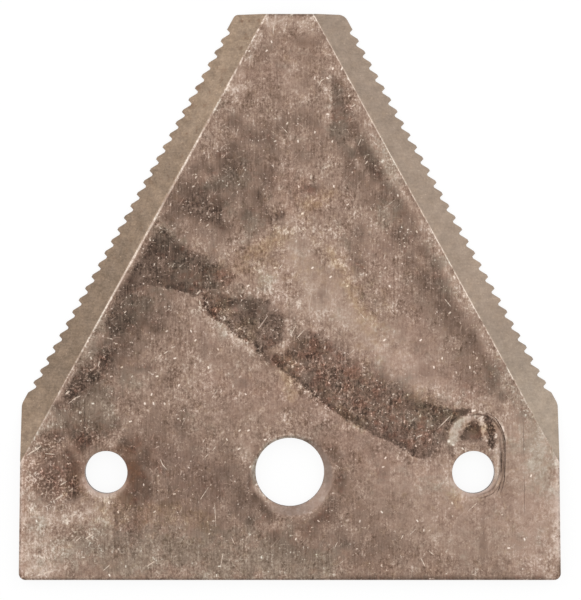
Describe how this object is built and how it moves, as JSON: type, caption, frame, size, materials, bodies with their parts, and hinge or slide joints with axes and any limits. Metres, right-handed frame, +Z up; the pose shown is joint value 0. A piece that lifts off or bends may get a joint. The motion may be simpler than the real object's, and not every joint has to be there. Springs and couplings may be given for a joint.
{
  "type": "mower sickle section",
  "caption": "flat trapezoid knife plate with ground, serrated cutting edges, rivet holes and a centre hole, for a reciprocating mower knife",
  "frame": {"origin": "on the axis of the centre hole, at the flat underside", "axes": "+Y toward the tip, +Z up out of the bevelled top face, +X to the right across the plate"},
  "size_m": [0.075, 0.0783, 0.0021],
  "materials": {
    "worn_steel": "worn, stained, part ground"
  },
  "bodies": {
    "root": {"sickle_section": "worn_steel"}
  },
  "joints": []
}
